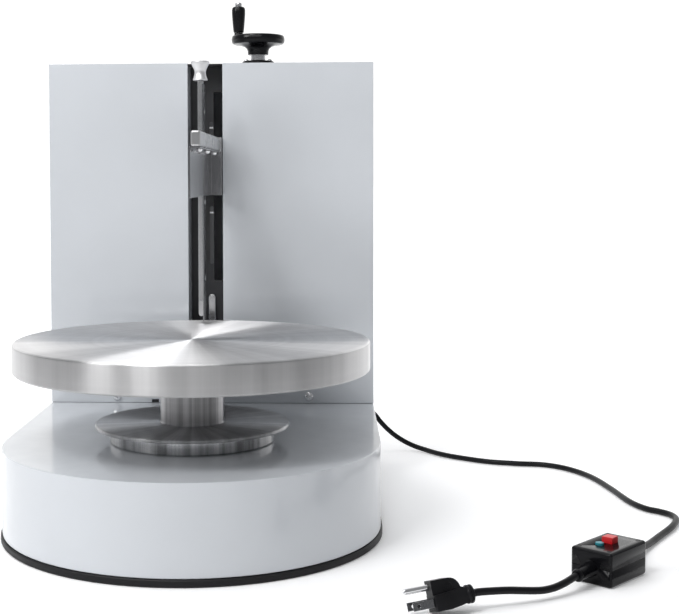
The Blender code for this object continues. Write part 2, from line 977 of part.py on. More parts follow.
def plug_way(along, across, up):
    """A direction given in the plug's own frame: rolled, tipped nose down, then turned."""
    y = across * math.cos(PLUG_ROLL) - up * math.sin(PLUG_ROLL)
    z = across * math.sin(PLUG_ROLL) + up * math.cos(PLUG_ROLL)
    x = along * math.cos(PLUG_PITCH) + z * math.sin(PLUG_PITCH)
    z = z * math.cos(PLUG_PITCH) - along * math.sin(PLUG_PITCH)
    c = math.cos(PLUG_TURN)
    s = math.sin(PLUG_TURN)
    return (x * c - y * s, x * s + y * c, z)


def plug_local(along, across, up):
    """A point given in the plug's own frame."""
    x, y, z = plug_way(along, across, up)
    return (PLUG_AT[0] + x, PLUG_AT[1] + y, PLUG_Z + z)


def make_cords():
    half = BOX_LEN / 2.0
    route = LONG_CORD + [
        (397.0, -100.7, 11.95),
        box_point(half + 10.0, 0.0, 13.5),
        box_point(half + 4.1 + GAP, 0.0, 13.5),
    ]
    cord("power_cord", route, BLACK)
    short = [
        box_point(-half - 22.5, 0.0, 12.1),
        box_point(-half - 27.8, 0.0, 11.9),
        (326.4, -180.8, 11.1),
        (322.3, -184.7, 10.2),
        (317.9, -188.4, 9.3),
        (313.1, -192.1, 8.5),
        (307.8, -195.7, 8.1),
        (301.9, -199.4, 8.1),
        (295.3, -203.1, 8.8),
        (288.0, -206.8, 9.9),
        (279.8, -210.7, 11.2),
        (270.7, -214.6, 12.4),
        (260.6, -218.8, 13.2),
        plug_local(-27.0, 0.0, PLUG_AXIS),
        plug_local(-21.0 - GAP, 0.0, PLUG_AXIS),
    ]
    cord("plug_lead", short, BLACK, 9.0)


def make_inline_box():
    half = BOX_LEN / 2.0
    wide = BOX_WIDE / 2.0
    outline = [(-half, -wide), (half, -wide), (half, wide), (-half, wide)]
    mesh = outline_mesh("inline_box", outline, 0.0, BOX_TALL)
    x, y, _ = box_point(0.0, 0.0, 0.0)
    box = finish_object("inline_box", mesh, BLACK, at(x, y, 0.0))
    box.rotation_euler = (0.0, 0.0, BOX_TURN)
    soften(box, 2.6, 3)
    for along, across, wide in ((RED_AT[0], RED_AT[1], 5.4), (TEAL_AT[0], TEAL_AT[1], 4.0)):
        outline = [(-wide, -wide), (wide, -wide), (wide, wide), (-wide, wide)]
        tool = finish_object("button_well", outline_mesh("button_well", outline, -6.0, 9.0), BLACK)
        tool.location = at(*box_point(along, across, BOX_TALL))
        tool.rotation_euler = (0.0, 0.0, BOX_TURN)
        cut(box, cutter(tool))
    nose_at = at(*box_point(half, 0.0, 13.5))
    nose = turned("box_nose", [(0.0, 4.0), (4.6, 4.0), (5.6, -3.0), (0.0, -3.0)], BLACK, nose_at, 24)
    aim(nose, (math.cos(BOX_TURN), math.sin(BOX_TURN), 0.0))
    cut(box, cutter(nose), "UNION")
    tail_at = at(*box_point(-half, 0.0, 13.0))
    tail = turned("box_tail", [(0.0, 22.0), (4.6, 22.0), (5.3, 20.8), (5.3, 18.8), (4.7, 17.6), (6.8, -3.0), (0.0, -3.0)], BLACK, tail_at, 24)
    aim(tail, (-math.cos(BOX_TURN), -math.sin(BOX_TURN), -0.04))
    cut(box, cutter(tail), "UNION")
    for name, place, wide, tall, look in (
        ("reset_button", RED_AT, 5.0, 5.2, RED),
        ("test_button", TEAL_AT, 3.6, 1.7, TEAL),
    ):
        outline = [(-wide, -wide), (wide, -wide), (wide, wide), (-wide, wide)]
        if name == "test_button":
            outline = arc(0.0, 0.0, wide, 0.0, 345.0, 23)
        obj = finish_object(name, outline_mesh(name, outline, -3.4, tall), look)
        obj.location = at(*box_point(*place, BOX_TALL))
        obj.rotation_euler = (0.0, 0.0, BOX_TURN)
        soften(obj, 0.6)


def plug_prism(name, outline, low, high):
    """A side outline in along and up, extruded across the plug."""
    tool = finish_object(name, outline_mesh(name, outline, -high, -low), BLACK, at(*plug_local(0.0, 0.0, 0.0)))
    tool.rotation_euler = (PLUG_ROLL + math.pi / 2.0, PLUG_PITCH, PLUG_TURN)
    return tool


def make_plug_body():
    """A block with rounded front corners that tapers to the collar, under a narrower rounded lobe."""
    half = [
        (PLUG_FACE, 7.2),
        (13.2, 9.2),
        (11.0, 10.0),
        (3.0, 10.0),
        (-7.0, 7.8),
        (-15.5, 5.6),
    ]
    outline = [(x, -y) for x, y in reversed(half)] + half
    body = finish_object("plug_body", outline_mesh("plug_body", outline, -15.0, 15.0), BLACK)
    body.location = at(*plug_local(0.0, 0.0, 0.0))
    body.rotation_euler = (PLUG_ROLL, PLUG_PITCH, PLUG_TURN)
    lobe = arc(-0.6, 2.4, 9.3, 90.0, 172.0, 10)
    side = [(18.0, -11.7), (18.0, 11.7)] + lobe
    side += [(-12.5, 2.4), (-20.0, 1.4), (-20.0, -8.8), (-6.0, -10.8), (2.0, -11.7)]
    cut(body, cutter(plug_prism("plug_side", side, -20.0, 20.0)), "INTERSECT")
    step = [(20.0, -0.2), (20.0, 20.0), (-30.0, 20.0), (-30.0, 2.9), (-7.0, 2.3)]
    cut(body, cutter(plug_prism("plug_step_near", step, 6.6, 20.0)))
    cut(body, cutter(plug_prism("plug_step_far", step, -20.0, -6.6)))
    soften(body, 1.1, 2, 40.0)
    tail = turned(
        "plug_tail",
        [
            (0.0, 21.0),
            (6.2, 21.0),
            (7.2, 20.4),
            (7.2, 19.2),
            (6.3, 18.6),
            (6.3, 18.1),
            (7.2, 17.5),
            (7.2, 16.3),
            (6.4, 15.4),
            (5.8, 10.0),
            (0.0, 10.0),
        ],
        BLACK,
        at(*plug_local(0.0, 0.0, PLUG_AXIS)),
        28,
    )
    aim(tail, plug_way(-1.0, 0.0, 0.0))
    cut(body, cutter(tail), "UNION")


def make_plug():
    make_plug_body()
    face = PLUG_FACE + GAP
    for name, across in (("plug_blade_near", 6.35), ("plug_blade_far", -6.35)):
        shape = [
            (face, -0.75),
            (face + 15.0, -0.75),
            (face + 17.3, -0.3),
            (face + 17.3, 0.3),
            (face + 15.0, 0.75),
            (face, 0.75),
        ]
        blade = finish_object(name, outline_mesh(name, shape, -3.2, 3.2), BRASS)
        blade.location = at(*plug_local(0.0, across, -5.0))
        blade.rotation_euler = (PLUG_ROLL, PLUG_PITCH, PLUG_TURN)
        hole = at(*plug_local(face + 12.5, across, -5.0))
        drill(blade, hole, 1.5, -4.0, 4.0, plug_way(0.0, 1.0, 0.0), 16)
    pin = turned(
        "plug_ground_pin",
        [(0.0, 21.0), (1.4, 20.8), (2.38, 19.0), (2.38, 0.0), (0.0, 0.0)],
        BRASS,
        at(*plug_local(face, 0.0, 6.9)),
        20,
    )
    aim(pin, plug_way(1.0, 0.0, 0.0))


def main():
    global PARTS, CUTTERS
    clear_scene()
    PARTS = collection("cake_spreading_machine")
    CUTTERS = collection("cutters", True)
    make_base()
    make_spindle_seat()
    make_drive()
    make_turntable()
    make_covers()
    make_channel()
    make_column_fittings()
    make_lift()
    make_crank()
    make_side_scraper()
    make_controls()
    make_cords()
    make_inline_box()
    make_plug()
    bpy.context.view_layer.update()


main()
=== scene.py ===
"""Cake spreading machine: finishes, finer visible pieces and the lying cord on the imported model."""

import json
import math

import bmesh
import bpy
from mathutils import Matrix, Vector

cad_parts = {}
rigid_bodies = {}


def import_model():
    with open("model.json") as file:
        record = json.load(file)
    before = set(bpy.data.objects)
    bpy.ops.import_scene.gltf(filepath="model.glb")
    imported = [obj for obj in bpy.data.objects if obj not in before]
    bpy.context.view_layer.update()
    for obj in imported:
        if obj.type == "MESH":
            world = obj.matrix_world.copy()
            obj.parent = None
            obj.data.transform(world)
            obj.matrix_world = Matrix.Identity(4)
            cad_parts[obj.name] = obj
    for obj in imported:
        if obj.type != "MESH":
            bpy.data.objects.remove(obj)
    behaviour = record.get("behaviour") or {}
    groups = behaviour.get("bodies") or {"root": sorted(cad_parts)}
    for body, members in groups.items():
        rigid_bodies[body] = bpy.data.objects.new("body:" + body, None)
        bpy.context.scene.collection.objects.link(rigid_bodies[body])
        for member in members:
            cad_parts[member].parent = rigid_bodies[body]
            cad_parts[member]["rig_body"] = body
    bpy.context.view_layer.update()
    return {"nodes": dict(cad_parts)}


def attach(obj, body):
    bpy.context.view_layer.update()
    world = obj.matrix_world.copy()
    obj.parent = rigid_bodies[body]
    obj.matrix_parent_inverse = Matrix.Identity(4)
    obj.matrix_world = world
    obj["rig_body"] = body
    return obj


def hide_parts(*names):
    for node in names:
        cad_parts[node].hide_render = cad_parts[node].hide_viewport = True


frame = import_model()
NODES = frame["nodes"]

MM = 0.001
AXIS_X = 6.4
AXIS_Y = -78.4

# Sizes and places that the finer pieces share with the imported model, in millimetres from the turntable axis
DISC_R = 170.0
DISC_TOP = 183.4
DISC_BOTTOM = 155.3
HUB_R = 30.8
CATCH_R = 92.8
CATCH_TOP = 104.5
RING_R = 78.5
RING_TOP = 100.5
BASE_TOP = 87.0
CRANK = (50.5, 251.0)
WHEEL_TOP = 499.8
GRIP_X = 28.3
GRIP_TOP = 532.6
STUD_TOP = 537.6
SLEEVE_TOP = 477.6
FLANGE_TOP = 470.8
SCREW_FOOT = 92.3
THREAD_PITCH = 5.0
COLUMN_FRONT = 201.0
GAP = 0.3
BAR_BOTTOM = 367.3
POST_FACE = -0.3
KNOB_AT = (-5.0, 141.0)
LOCK_AT = (-6.1, 216.0, 329.7)
SPEED_KNOB_AT = (-180.3, 150.0, 48.0)
GLAND_AT = (140.0, 316.3, 62.0)
CORD_R = 3.0
CORD_STEP = 4.0
BOX_AT = (366.5, -136.0)
BOX_LEN = 58.8
BOX_WIDE = 38.0
BOX_TALL = 29.0
BOX_TURN = math.radians(48.4)
PLUG_AT = (221.8, -231.9)
PLUG_Z = 15.0
PLUG_TURN = math.radians(200.0)
PLUG_ROLL = math.radians(18.0)
PLUG_PITCH = math.radians(5.0)
PLUG_AXIS = -3.8
PLUG_SIDE = 6.6
PLUG_TAIL = 21.3

# Directions that a turned piece can point along
UP = (0.0, 0.0, 1.0)
DOWN = (0.0, 0.0, -1.0)
FRONT = (0.0, -1.0, 0.0)
BACK = (0.0, 1.0, 0.0)
RIGHT = (1.0, 0.0, 0.0)
LEFT = (-1.0, 0.0, 0.0)

CAMERA_AT = (0.1387, -1.31103, 0.33688)
CAMERA_YAW = -0.0508
CAMERA_PITCH = 0.0361
CAMERA_ROLL = -0.0035


def at(x, y, z=0.0):
    """A point given from the turntable axis in millimetres, in metres of the shared frame."""
    return Vector(((x + AXIS_X) * MM, (y + AXIS_Y) * MM, z * MM))


# ---------------------------------------------------------------- camera, floor and light


def make_camera():
    yaw = CAMERA_YAW
    pitch = CAMERA_PITCH
    roll = CAMERA_ROLL
    ahead = Vector((math.sin(yaw) * math.cos(pitch), math.cos(yaw) * math.cos(pitch), -math.sin(pitch)))
    level = Vector((math.cos(yaw), -math.sin(yaw), 0.0))
    over = level.cross(ahead)
    right = level * math.cos(roll) + over * math.sin(roll)
    up = over * math.cos(roll) - level * math.sin(roll)
    data = bpy.data.cameras.new("camera")
    data.sensor_width = 36.0
    data.lens = 68.77
    data.shift_x = 0.1107
    data.shift_y = -0.1201
    data.clip_end = 100.0
    cam = bpy.data.objects.new("camera", data)
    turn = Matrix((right, up, -ahead)).transposed().to_4x4()
    cam.matrix_world = Matrix.Translation(CAMERA_AT) @ turn
    bpy.context.scene.collection.objects.link(cam)
    bpy.context.scene.camera = cam


def area_light(name, place, target, size, power, colour=(1.0, 1.0, 1.0)):
    data = bpy.data.lights.new(name, "AREA")
    data.shape = "RECTANGLE"
    data.size = size[0]
    data.size_y = size[1]
    data.energy = power
    data.color = colour
    lamp = bpy.data.objects.new(name, data)
    lamp.location = place
    toward = Vector(target) - Vector(place)
    lamp.rotation_mode = "QUATERNION"
    lamp.rotation_quaternion = toward.to_track_quat("-Z", "Y")
    bpy.context.scene.collection.objects.link(lamp)


def make_light():
    area_light("key", (-1.75, -1.3, 1.5), (0.0, 0.05, 0.25), (0.8, 0.8), 16.2)
    area_light("high", (-0.75, -1.2, 1.95), (0.0, 0.1, 0.3), (0.55, 0.55), 16.2)
    area_light("fill", (1.5, -1.9, 0.9), (0.0, 0.0, 0.3), (0.5, 1.4), 0.15)
    area_light("front", (-0.1, -0.66, 0.98), (0.05, 0.12, 0.32), (0.9, 0.4), 2.4)
    area_light("overhead", (-0.5, 0.15, 2.3), (0.0, 0.0, 0.0), (1.5, 1.5), 13.0)
    world = bpy.data.worlds.new("studio")
    world.use_nodes = True
    tree = world.node_tree
    back = tree.nodes["Background"]
    coord = tree.nodes.new("ShaderNodeTexCoord")
    split = tree.nodes.new("ShaderNodeSeparateXYZ")
    ramp = tree.nodes.new("ShaderNodeValToRGB")
    stretch = tree.nodes.new("ShaderNodeMapRange")
    stretch.inputs["From Min"].default_value = -1.0
    stretch.inputs["From Max"].default_value = 1.0
    ramp.color_ramp.elements[0].position = 0.2
    ramp.color_ramp.elements[0].color = (0.20, 0.205, 0.21, 1.0)
    ramp.color_ramp.elements[1].position = 0.93
    ramp.color_ramp.elements[1].color = (1.0, 1.0, 1.0, 1.0)
    middle = ramp.color_ramp.elements.new(0.62)
    middle.color = (0.30, 0.305, 0.315, 1.0)
    tree.links.new(coord.outputs["Generated"], split.inputs[0])
    tree.links.new(split.outputs["Y"], stretch.inputs["Value"])
    tree.links.new(stretch.outputs["Result"], ramp.inputs["Fac"])
    tree.links.new(ramp.outputs["Color"], back.inputs["Color"])
    back.inputs["Strength"].default_value = 1.15
    bpy.context.scene.world = world
    bpy.context.scene.view_settings.view_transform = "Standard"


def make_floor():
    size = 60.0
    mesh = bpy.data.meshes.new("floor")
    corners = [(-size, -size, -0.0003), (size, -size, -0.0003), (size, size, -0.0003), (-size, size, -0.0003)]
    mesh.from_pydata(corners, [], [(0, 1, 2, 3)])
    floor = bpy.data.objects.new("floor", mesh)
    bpy.context.scene.collection.objects.link(floor)
    mat = bpy.data.materials.new("floor_paper")
    mat.use_nodes = True
    shader = mat.node_tree.nodes["Principled BSDF"]
    shader.inputs["Base Color"].default_value = (0.92, 0.92, 0.925, 1.0)
    shader.inputs["Roughness"].default_value = 0.9
    shader.inputs["Specular IOR Level"].default_value = 0.1
    shader.inputs["Emission Color"].default_value = (1.0, 1.0, 1.0, 1.0)
    tree = mat.node_tree
    coord = tree.nodes.new("ShaderNodeTexCoord")
    split = tree.nodes.new("ShaderNodeSeparateXYZ")
    glow = tree.nodes.new("ShaderNodeMapRange")
    glow.inputs["From Min"].default_value = -0.45
    glow.inputs["From Max"].default_value = 1.4
    glow.inputs["To Min"].default_value = 0.04
    glow.inputs["To Max"].default_value = 0.85
    tree.links.new(coord.outputs["Object"], split.inputs[0])
    tree.links.new(split.outputs["Y"], glow.inputs["Value"])
    tree.links.new(glow.outputs["Result"], shader.inputs["Emission Strength"])
    mesh.materials.append(mat)


# ---------------------------------------------------------------- materials


class Look:
    """Builds one node material step by step."""

    def __init__(self, name, colour, metal, rough):
        self.mat = bpy.data.materials.new(name)
        self.mat.use_nodes = True
        self.tree = self.mat.node_tree
        self.shader = self.tree.nodes["Principled BSDF"]
        self.colour = colour
        self.put("Base Color", (*colour, 1.0))
        self.put("Metallic", metal)
        self.put("Roughness", rough)
        self.height = None

    def put(self, socket, value):
        self.shader.inputs[socket].default_value = value
        return self

    def node(self, kind, **inputs):
        made = self.tree.nodes.new(kind)
        for key, value in inputs.items():
            made.inputs[key.replace("_", " ")].default_value = value
        return made

    def link(self, out, into):
        self.tree.links.new(out, into)

    def place(self, stretch=(1.0, 1.0, 1.0), turn=(0.0, 0.0, 0.0)):
        coord = self.node("ShaderNodeTexCoord")
        mapping = self.node("ShaderNodeMapping")
        mapping.inputs["Scale"].default_value = stretch
        mapping.inputs["Rotation"].default_value = turn
        self.link(coord.outputs["Object"], mapping.inputs["Vector"])
        return mapping.outputs["Vector"]

    def vector(self, operation, source, other=None):
        """A vector step on a source, with a fixed second vector where it needs one."""
        made = self.node("ShaderNodeVectorMath")
        made.operation = operation
        if other is not None:
            made.inputs[1].default_value = other
        self.link(source, made.inputs[0])
        return made

    def times(self, value, share):
        made = self.node("ShaderNodeMath")
        made.operation = "MULTIPLY"
        made.inputs[1].default_value = share
        self.link(value, made.inputs[0])
        return made.outputs[0]

    def from_axis(self, centre):
        """The place relative to a vertical axis, and its part across that axis."""
        coord = self.node("ShaderNodeTexCoord")
        shift = self.vector("SUBTRACT", coord.outputs["Object"], centre)
        flat = self.vector("MULTIPLY", shift.outputs[0], (1.0, 1.0, 0.0))
        return shift.outputs[0], flat.outputs[0]

    def ring_place(self, centre, across, along):
        """Coordinates that run with the distance from a vertical axis, and up it."""
        shift, flat = self.from_axis(centre)
        split = self.node("ShaderNodeSeparateXYZ")
        out = self.node("ShaderNodeCombineXYZ")
        length = self.vector("LENGTH", flat)
        self.link(shift, split.inputs[0])
        self.link(self.times(length.outputs["Value"], across), out.inputs["X"])
        self.link(self.times(split.outputs["Z"], along), out.inputs["Y"])
        return out.outputs[0]

    def fan_place(self, centre, scale):
        """Coordinates that change only with the direction from a vertical axis."""
        unit = self.vector("NORMALIZE", self.from_axis(centre)[1])
        grown = self.vector("SCALE", unit.outputs[0])
        grown.inputs["Scale"].default_value = scale
        return grown.outputs[0]

    def dim(self, value, low, start=0.35, stop=0.65):
        """Scales the colour that tint has set by a share between low and one."""
        scale = self.node("ShaderNodeVectorMath")
        scale.operation = "SCALE"
        self.link(self.shader.inputs["Base Color"].links[0].from_socket, scale.inputs[0])
        self.link(self.span(value, low, 1.0, start, stop), scale.inputs["Scale"])
        self.link(scale.outputs[0], self.shader.inputs["Base Color"])
        return self

    def noise(self, vector, scale, detail=3.0, rough=0.5):
        made = self.node("ShaderNodeTexNoise", Scale=scale, Detail=detail, Roughness=rough)
        self.link(vector, made.inputs["Vector"])
        return made.outputs["Fac"]

    def span(self, value, low, high, start=0.3, stop=0.7):
        made = self.node("ShaderNodeMapRange")
        made.inputs["From Min"].default_value = start
        made.inputs["From Max"].default_value = stop
        made.inputs["To Min"].default_value = low
        made.inputs["To Max"].default_value = high
        self.link(value, made.inputs["Value"])
        return made.outputs["Result"]

    def tint(self, value, other, start=0.3, stop=0.7):
        mix = self.tree.nodes.new("ShaderNodeMix")
        mix.data_type = "RGBA"
        mix.inputs[6].default_value = (*self.colour, 1.0)
        mix.inputs[7].default_value = (*other, 1.0)
        self.link(self.span(value, 0.0, 1.0, start, stop), mix.inputs[0])
        self.link(mix.outputs[2], self.shader.inputs["Base Color"])
        return self

    def shade_below(self, height, share):
        """Darkens everything under a height, after tint has set the colour."""
        coord = self.node("ShaderNodeTexCoord")
        split = self.node("ShaderNodeSeparateXYZ")
        self.link(coord.outputs["Object"], split.inputs[0])
        return self.dim(split.outputs["Z"], share, height - 0.0004, height)

    def gloss(self, value, low, high):
        self.link(self.span(value, low, high), self.shader.inputs["Roughness"])
        return self

    def bump(self, value, strength, depth):
        made = self.node("ShaderNodeBump")
        made.inputs["Strength"].default_value = strength
        made.inputs["Distance"].default_value = depth
        self.link(value, made.inputs["Height"])
        if self.height is not None:
            self.link(self.height, made.inputs["Normal"])
        self.height = made.outputs["Normal"]
        self.link(self.height, self.shader.inputs["Normal"])
        return self

    def radial_grain(self, amount, turn=0.0):
        tangent = self.tree.nodes.new("ShaderNodeTangent")
        tangent.direction_type = "RADIAL"
        tangent.axis = "Z"
        self.put("Anisotropic", amount)
        self.put("Anisotropic Rotation", turn)
        self.link(tangent.outputs["Tangent"], self.shader.inputs["Tangent"])
        return self


def paint_look(colour):
    """Gloss enamel on sheet metal: a faint orange peel, soft tone drift and a thin clear top."""
    look = Look("enamel", colour, 0.0, 0.34)
    look.put("Coat Weight", 0.7).put("Coat Roughness", 0.09).put("Coat IOR", 1.5)
    soft = look.noise(look.place(), 9.0, 3.0)
    fine = look.noise(look.place(), 620.0, 2.0)
    speck = look.noise(look.place(), 2600.0, 1.0)
    look.tint(soft, tuple(c * 0.96 for c in colour))
    look.gloss(look.noise(look.place(), 55.0, 4.0), 0.28, 0.40)
    look.bump(fine, 0.05, 0.0002).bump(speck, 0.02, 0.00005)
    return look.mat


def turned_look(name, colour, rough, centre, grain=0.8, tone=0.88, groove=0.25, sheen_fan=0.8, rim=None):
    """Lathe-turned metal: fine rings about the axis, stretched highlights and light handling marks.
    The fan share is the darkest share of painted sheen: bands of light and dark that run out from the axis
    and down its side, standing in for streaked reflections.
    rim gives a height and a share: below that height the metal is darker by that share, as painted shade."""
    look = Look(name, colour, 1.0, rough)
    rings = look.noise(look.ring_place(centre, 900.0, 900.0), 1.0, 4.0, 0.7)
    broad = look.noise(look.ring_place(centre, 95.0, 60.0), 1.0, 3.0, 0.6)
    marks = look.noise(look.place(), 14.0, 3.0, 0.5)
    look.tint(broad, tuple(c * tone for c in colour), 0.35, 0.65)
    look.gloss(marks, rough * 0.9, rough * 1.12)
    look.bump(rings, groove, 0.00003)
    look.radial_grain(grain, 0.25)
    # Painted sheen: bands that fan out from the axis darken the colour, in place of streaked reflections.
    look.dim(look.noise(look.fan_place(centre, 6.0), 1.0, 5.0, 0.65), sheen_fan)
    if rim:
        look.shade_below(*rim)
    return look.mat


def brushed_look(name, colour, rough, stretch, tone=0.9, strength=0.12):
    """Brushed stainless steel, with its grain along one direction."""
    look = Look(name, colour, 1.0, rough)
    grain = look.noise(look.place(stretch), 1.0, 4.0, 0.65)
    smear = look.noise(look.place(), 26.0, 5.0, 0.6)
    look.tint(grain, tuple(c * tone for c in colour), 0.35, 0.65)
    look.gloss(smear, rough * 0.8, rough * 1.3)
    look.bump(grain, strength, 0.00003)
    return look.mat


def plastic_look(name, colour, rough, texture=900.0, strength=0.08, lift=1.5, coat=0.0, shine=0.5):
    """Moulded plastic: a fine spark texture, slow gloss change and faint handling marks."""
    look = Look(name, colour, 0.0, rough)
    look.put("Specular IOR Level", shine)
    if coat:
        look.put("Coat Weight", coat).put("Coat Roughness", 0.06)
    soft = look.noise(look.place(), 38.0, 4.0)
    fine = look.noise(look.place(), texture, 2.0)
    look.tint(soft, tuple(min(1.0, c * lift + 0.002) for c in colour))
    look.gloss(soft, rough * 0.85, rough * 1.2)
    look.bump(fine, strength, 0.0001)
    return look.mat


def cast_look(name, colour, rough, metal=0.0):
    """A painted or raw cast part, slightly uneven."""
    look = Look(name, colour, metal, rough)
    soft = look.noise(look.place(), 120.0, 5.0)
    look.tint(soft, tuple(c * 0.8 for c in colour))
    look.gloss(soft, rough * 0.85, rough * 1.15)
    look.bump(look.noise(look.place(), 480.0, 3.0), 0.18, 0.0002)
    return look.mat


def belt_look():
    """Toothed belt rubber, with the teeth shown as bands across its run."""
    look = Look("belt_rubber", (0.014, 0.014, 0.015), 0.0, 0.62)
    wave = look.node("ShaderNodeTexWave", Scale=120.0, Distortion=0.0)
    look.link(look.place(), wave.inputs["Vector"])
    look.tint(look.noise(look.place(), 90.0), (0.03, 0.03, 0.032))
    look.bump(wave.outputs["Fac"], 0.5, 0.0006)
    return look.mat


AXIS_POINT = tuple(at(0.0, 0.0))

PAINT = paint_look((0.612, 0.637, 0.670))
# Painted shade: the disc's side and underside, below its top face, get a darker colour than the top.
DISC_SIDE_SHADE = ((DISC_TOP - 0.9) * MM, 0.685)
DISC_TONE = (0.83, 0.826, 0.832)
ALUMINIUM = turned_look("turned_aluminium", DISC_TONE, 0.37, AXIS_POINT, 1.0, 0.9, 0.2, 0.84, DISC_SIDE_SHADE)
HUB_STEEL = turned_look("turned_steel", (0.62, 0.615, 0.625), 0.34, AXIS_POINT, 0.95, 0.88, 0.25, 0.55)
CATCH_STEEL = turned_look("spun_steel", (0.58, 0.58, 0.59), 0.36, AXIS_POINT, 1.0, 0.9, 0.2, 0.6)
RING_STEEL = turned_look("polished_ring", (0.70, 0.70, 0.71), 0.14, AXIS_POINT, 0.4, 0.94, 0.1, 0.35)
BAR_STEEL = brushed_look("bar_steel", (0.54, 0.54, 0.545), 0.26, (900.0, 12.0, 900.0), 0.93, 0.05)
BLADE_STEEL = brushed_look("blade_steel", (0.32, 0.32, 0.33), 0.16, (420.0, 12.0, 420.0), 0.94, 0.06)
POST_STEEL = brushed_look("post_steel", (0.55, 0.55, 0.56), 0.24, (600.0, 600.0, 14.0))
KNOB_STEEL = brushed_look("knob_steel", (0.76, 0.76, 0.77), 0.46, (60.0, 60.0, 900.0), 0.95)
CHROME = brushed_look("chrome", (0.80, 0.80, 0.81), 0.09, (300.0, 300.0, 300.0), 0.96, 0.02)
ROD_STEEL = brushed_look("rod_steel", (0.62, 0.62, 0.63), 0.2, (90.0, 90.0, 1200.0))
STRIP_STEEL = brushed_look("strip_steel", (0.13, 0.13, 0.135), 0.34, (600.0, 600.0, 20.0))
BRASS = cast_look("brass", (0.66, 0.47, 0.2), 0.32, 1.0)
NICKEL = brushed_look("nickel", (0.27, 0.27, 0.28), 0.22, (500.0, 60.0, 500.0))
GLOSS_BLACK = plastic_look("gloss_black", (0.004, 0.004, 0.005), 0.2, 700.0, 0.03, 1.4, 0.05, 0.2)
CHANNEL_BLACK = plastic_look("channel_black", (0.018, 0.018, 0.020), 0.5, 1100.0, 0.10)
SOFT_BLACK = plastic_look("soft_black", (0.005, 0.005, 0.006), 0.38, 1300.0, 0.10, 1.5, 0.0, 0.2)
BOX_BLACK = plastic_look("box_black", (0.004, 0.004, 0.005), 0.2, 1500.0, 0.04, 1.4, 0.0, 0.14)
CORD_BLACK = plastic_look("cord_black", (0.004, 0.004, 0.005), 0.38, 1700.0, 0.06, 1.5, 0.0, 0.18)
RUBBER = plastic_look("trim_rubber", (0.006, 0.006, 0.007), 0.5, 900.0, 0.14, 1.5, 0.0, 0.25)
RED = plastic_look("red_plastic", (0.62, 0.015, 0.02), 0.3, 1200.0, 0.04, 1.08)
TEAL = plastic_look("teal_plastic", (0.02, 0.22, 0.27), 0.32, 1200.0, 0.04, 1.1)
WHITE = plastic_look("white_cap", (0.78, 0.78, 0.79), 0.4, 1200.0, 0.04, 0.96)
MOTOR = cast_look("motor_paint", (0.05, 0.055, 0.06), 0.45)
PLATE = cast_look("zinc_plate", (0.55, 0.56, 0.57), 0.42, 0.9)
BELT = belt_look()


# ---------------------------------------------------------------- mesh helpers


def link_piece(obj, body, nodes, mat):
    """Links a finished piece, says what it rides on, and hides the nodes that it stands for."""
    if obj.name not in bpy.context.scene.collection.objects:
        bpy.context.scene.collection.objects.link(obj)
    obj.data.materials.clear()
    obj.data.materials.append(mat)
    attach(obj, body)
    if nodes:
        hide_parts(*nodes)
    return obj


def smooth(mesh, angle=32.0):
    mesh.shade_smooth()
    mesh.set_sharp_from_angle(angle=math.radians(angle))


def bevelled(obj, width, segments):
    step = obj.modifiers.new("edges", "BEVEL")
    step.width = width * MM
    step.segments = segments
    step.limit_method = "ANGLE"
    step.angle_limit = math.radians(35.0)
    step.harden_normals = True
    return obj


def even(obj):
    """Lets wide faces keep their own direction, so that only the narrow ones between them look curved."""
    step = obj.modifiers.new("even", "WEIGHTED_NORMAL")
    step.mode = "FACE_AREA"
    step.weight = 90
    step.keep_sharp = True
    return obj


def rounded(points, steps=4):
    """A profile whose corners carry a third value, the radius that rounds them off."""
    out = []
    last = len(points) - 1
    for i, point in enumerate(points):
        here = Vector(point[:2])
        radius = point[2] if len(point) > 2 else 0.0
        if not radius or i in (0, last):
            out.append(here)
            continue
        a = Vector(points[i - 1][:2]) - here
        b = Vector(points[i + 1][:2]) - here
        reach = min(radius, a.length * 0.48, b.length * 0.48)
        p = here + a.normalized() * reach
        q = here + b.normalized() * reach
        for k in range(steps + 1):
            t = k / steps
            out.append(p * (1 - t) ** 2 + here * (2 * t * (1 - t)) + q * t * t)
    return [(v.x, v.y) for v in out]


def lathe_mesh(name, profile, steps, closed, flute=None):
    """Turns a profile of radius and height, in millimetres, about z.
    flute changes the radius with the angle."""
    work = bmesh.new()
    rows = []
    for r, z in profile:
        if r < 1e-6:
            rows.append([work.verts.new((0.0, 0.0, z * MM))])
            continue
        row = []
        for k in range(steps):
            a = 2.0 * math.pi * k / steps
            use = r * flute(a, r, z) if flute else r
            row.append(work.verts.new((use * math.cos(a) * MM, use * math.sin(a) * MM, z * MM)))
        rows.append(row)
    pairs = list(zip(rows, rows[1:]))
    if closed:
        pairs.append((rows[-1], rows[0]))
    for upper, lower in pairs:
        if len(upper) == 1 and len(lower) == 1:
            continue
        for k in range(steps):
            j = (k + 1) % steps
            if len(upper) == 1:
                work.faces.new((upper[0], lower[k], lower[j]))
            elif len(lower) == 1:
                work.faces.new((upper[k], lower[0], upper[j]))
            else:
                work.faces.new((upper[k], lower[k], lower[j], upper[j]))
    bmesh.ops.recalc_face_normals(work, faces=work.faces)
    mesh = bpy.data.meshes.new(name)
    work.to_mesh(mesh)
    work.free()
    return mesh


def facing(aim):
    """The turn that brings the z axis onto a direction."""
    return Vector(UP).rotation_difference(Vector(aim)).to_matrix().to_4x4()


def lathe(name, profile, place, mat, body, nodes, steps=96, closed=False, aim=UP, flute=None):
    """A turned piece. Its profile may carry corner radii, and a closed one is a ring."""
    mesh = lathe_mesh(name, rounded(profile), steps, closed, flute)
    mesh.transform(Matrix.Translation(place) @ facing(aim))
    smooth(mesh)
    return link_piece(bpy.data.objects.new(name, mesh), body, nodes, mat)


